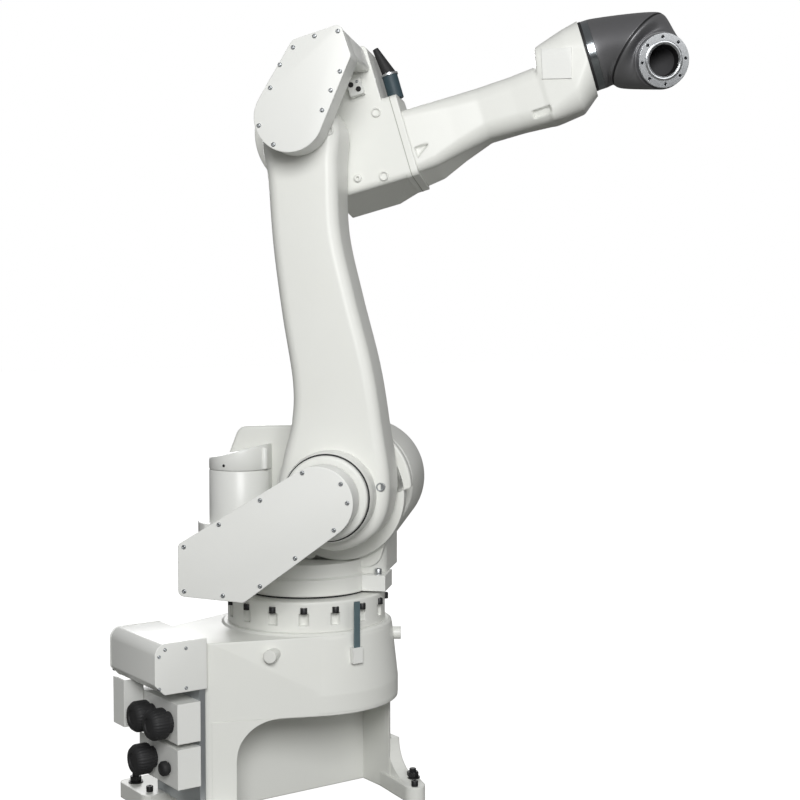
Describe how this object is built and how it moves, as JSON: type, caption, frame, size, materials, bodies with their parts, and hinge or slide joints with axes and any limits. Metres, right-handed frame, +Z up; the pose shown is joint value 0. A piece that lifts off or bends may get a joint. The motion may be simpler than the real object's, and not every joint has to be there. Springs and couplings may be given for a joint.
{
  "type": "industrial robot arm",
  "caption": "Floor-standing jointed robot arm with a cast pedestal, turning turret, bowed lower arm, forearm and hollow slanted wrist with a tool flange.",
  "frame": {"origin": "on the floor under the first axis", "axes": "+Z up, +X to the pedestal's front, opposite its connector panel"},
  "size_m": [1.0878, 0.9682, 1.8019],
  "materials": {
    "paint": "satin cream-white enamel",
    "graphite": "dark hard-coated aluminium",
    "steel": "machined",
    "aluminium": "plain sheet",
    "black_rubber": "moulded",
    "blue_grey": "moulded"
  },
  "bodies": {
    "base": {"base_casting": "paint", "bolt_ring": "paint", "rear_box": "paint", "rear_box_ends": "paint", "cable_bracket": "paint", "connector_panel": "aluminium", "upper_connector_box": "paint", "lower_connector_box": "paint", "upper_connector_caps": "black_rubber", "lower_connector_caps": "black_rubber", "mark_strip": "blue_grey", "mark_block": "paint", "drum_bosses": "paint", "turret_seal": "black_rubber"},
    "turret": {"turret_casting": "paint", "shoulder_housing": "paint", "motor_cover": "paint", "motor_cap": "paint", "shoulder_drive_box": "paint", "shoulder_drive_lid": "paint", "stop_block": "paint"},
    "lower_arm": {"lower_arm": "paint", "hub_boss": "paint"},
    "upper_arm": {"elbow_drive_box": "paint", "elbow_drive_lid": "paint", "elbow_casting": "paint", "terminal_box": "paint", "forearm": "paint", "forearm_cover": "paint", "hose_boot": "black_rubber", "hose_clamp": "steel", "hose_sleeve": "blue_grey"},
    "wrist_1": {"wrist_ring": "steel", "wrist_body_1": "graphite"},
    "wrist_2": {"wrist_body_2": "graphite"},
    "tool": {"tool_flange": "steel"}
  },
  "joints": [
    {"name": "turret_turn", "type": "hinge", "parent": "base", "child": "turret", "pos_m": [0, 0, 0.485], "axis": [0, 0, 1], "range_deg": [-105, 195]},
    {"name": "arm_swing", "type": "hinge", "parent": "turret", "child": "lower_arm", "pos_m": [0.07566, -0.07566, 0.729], "axis": [0.7071, 0.7071, 0], "range_deg": [-55, 115]},
    {"name": "elbow", "type": "hinge", "parent": "lower_arm", "child": "upper_arm", "pos_m": [0.02393, -0.02393, 1.54874], "axis": [-0.7071, -0.7071, 0], "range_deg": [-76, 78]},
    {"name": "wrist_roll", "type": "hinge", "parent": "upper_arm", "child": "wrist_1", "pos_m": [0.46966, -0.45269, 1.71105], "axis": [0.678, -0.678, 0.284], "range_deg": [-720, 720]},
    {"name": "wrist_bend", "type": "hinge", "parent": "wrist_1", "child": "wrist_2", "pos_m": [0.54743, -0.53988, 1.72136], "axis": [0.3999, -0.714, -0.5747], "range_deg": [-720, 720]},
    {"name": "tool_turn", "type": "hinge", "parent": "wrist_2", "child": "tool", "pos_m": [0.54577, -0.61943, 1.68717], "axis": [-0.378, -0.9119, -0.1602], "range_deg": [-410, 410]}
  ]
}
